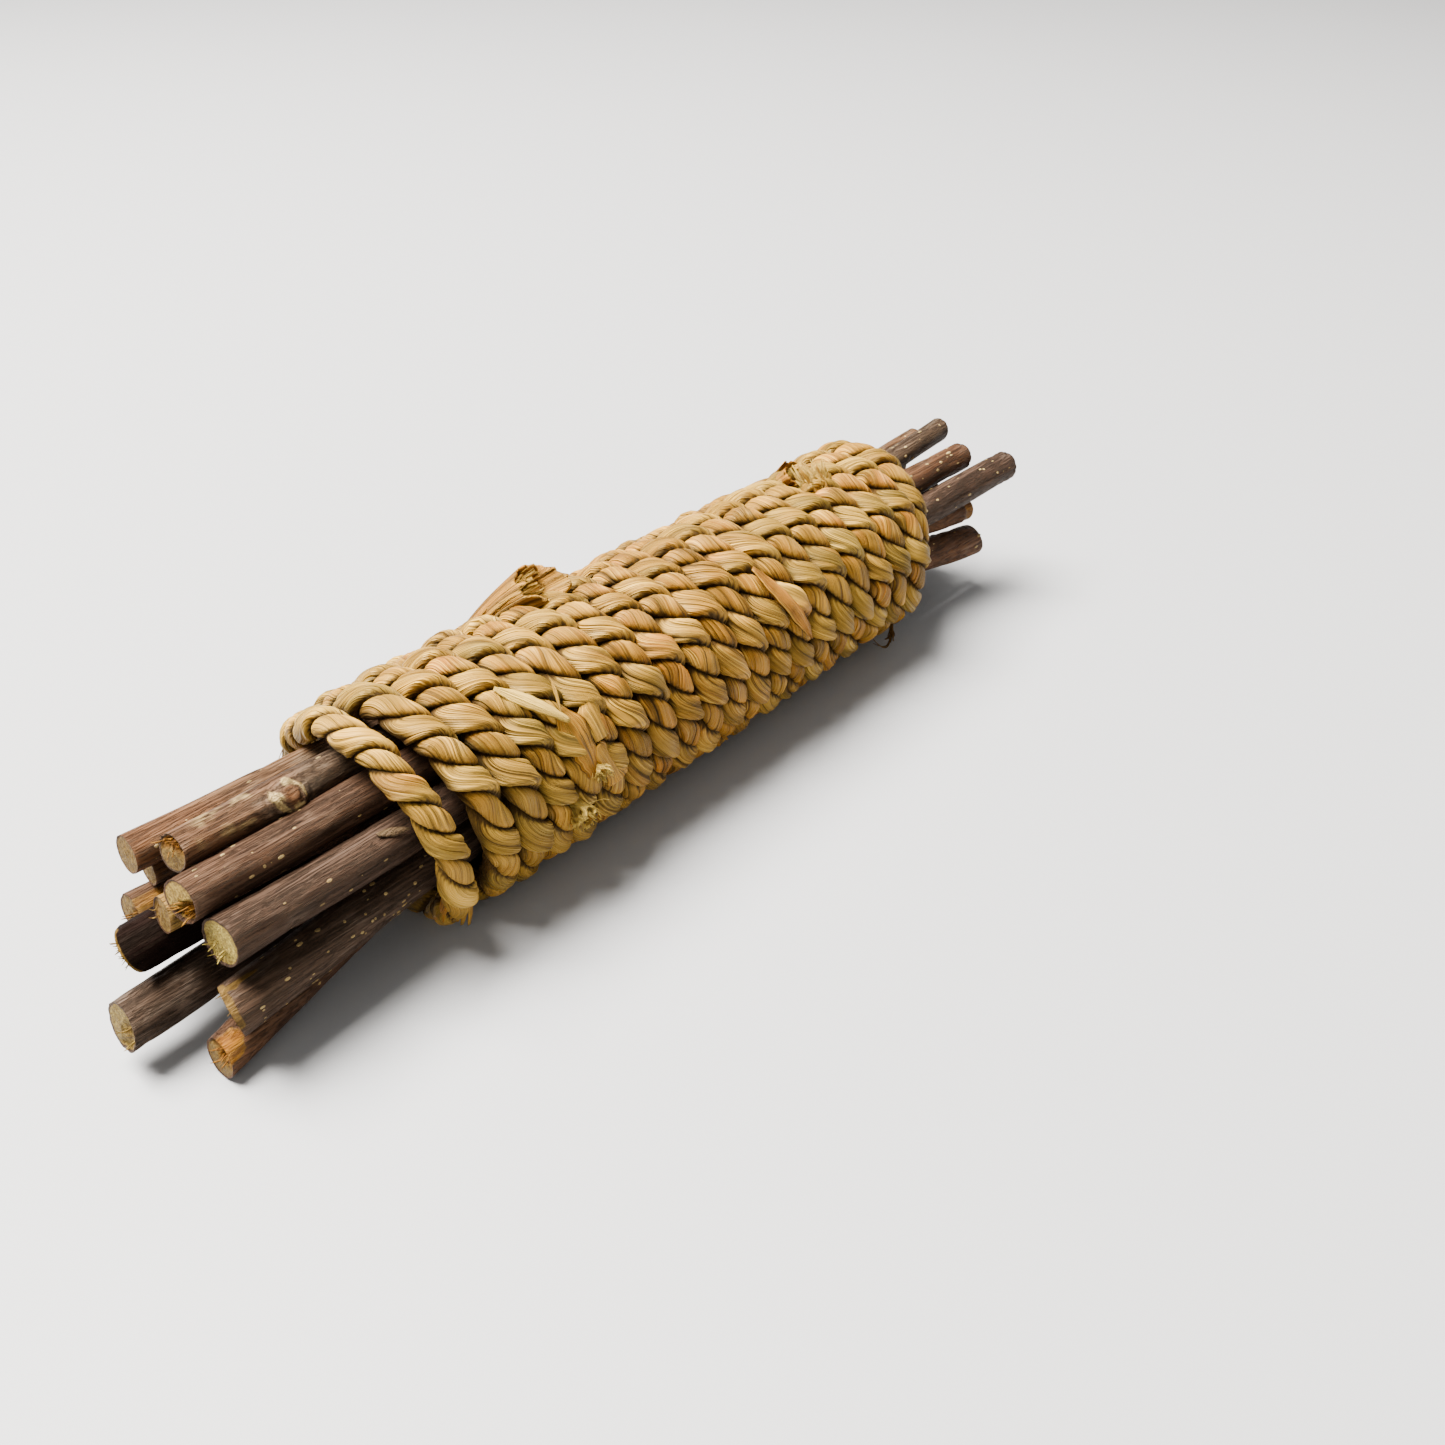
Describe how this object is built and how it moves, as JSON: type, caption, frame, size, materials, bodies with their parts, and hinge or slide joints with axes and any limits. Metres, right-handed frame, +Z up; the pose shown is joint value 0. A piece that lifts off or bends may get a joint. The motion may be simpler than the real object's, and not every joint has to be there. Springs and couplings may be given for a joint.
{
  "type": "bundle of apple wood sticks",
  "caption": "Bundle of cut apple wood sticks with bark, bound over most of its length with close turns of two-strand twisted seagrass rope, for small animals to gnaw.",
  "frame": {"origin": "under the middle of the bundle's bounding box, on the surface that it lies on", "axes": "+X along the bundle from its front ends to its back ends, +Z up"},
  "size_m": [0.1738, 0.0338, 0.0356],
  "materials": {
    "bark": "matte",
    "seagrass": "satin"
  },
  "bodies": {
    "root": {"stick_1": "bark", "stick_2": "bark", "stick_3": "bark", "stick_4": "bark", "stick_5": "bark", "stick_6": "bark", "stick_7": "bark", "stick_8": "bark", "stick_9": "bark", "stick_10": "bark", "stick_11": "bark", "front_rope": "seagrass", "middle_rope": "seagrass", "back_rope": "seagrass"}
  },
  "joints": []
}
